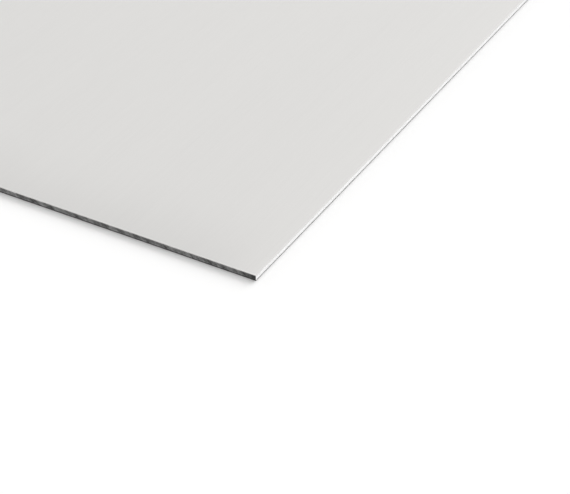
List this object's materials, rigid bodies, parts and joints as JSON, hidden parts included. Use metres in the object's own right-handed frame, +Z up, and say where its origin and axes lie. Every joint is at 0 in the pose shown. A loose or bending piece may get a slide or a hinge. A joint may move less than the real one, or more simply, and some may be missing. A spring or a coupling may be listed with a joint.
{
  "type": "aluminium plate",
  "caption": "Flat rectangular aluminium plate cut to size from sheet, with guillotine-sheared edges and blunted corners, for panels, brackets, covers and machined blanks.",
  "frame": {"origin": "centre of the plate's underside", "axes": "+Z up through the gauge, +Y along the length, +X across the width"},
  "size_m": [0.3, 0.5, 0.003],
  "materials": {
    "aluminium": "satin mill finish"
  },
  "bodies": {
    "root": {"plate": "aluminium"}
  },
  "joints": []
}
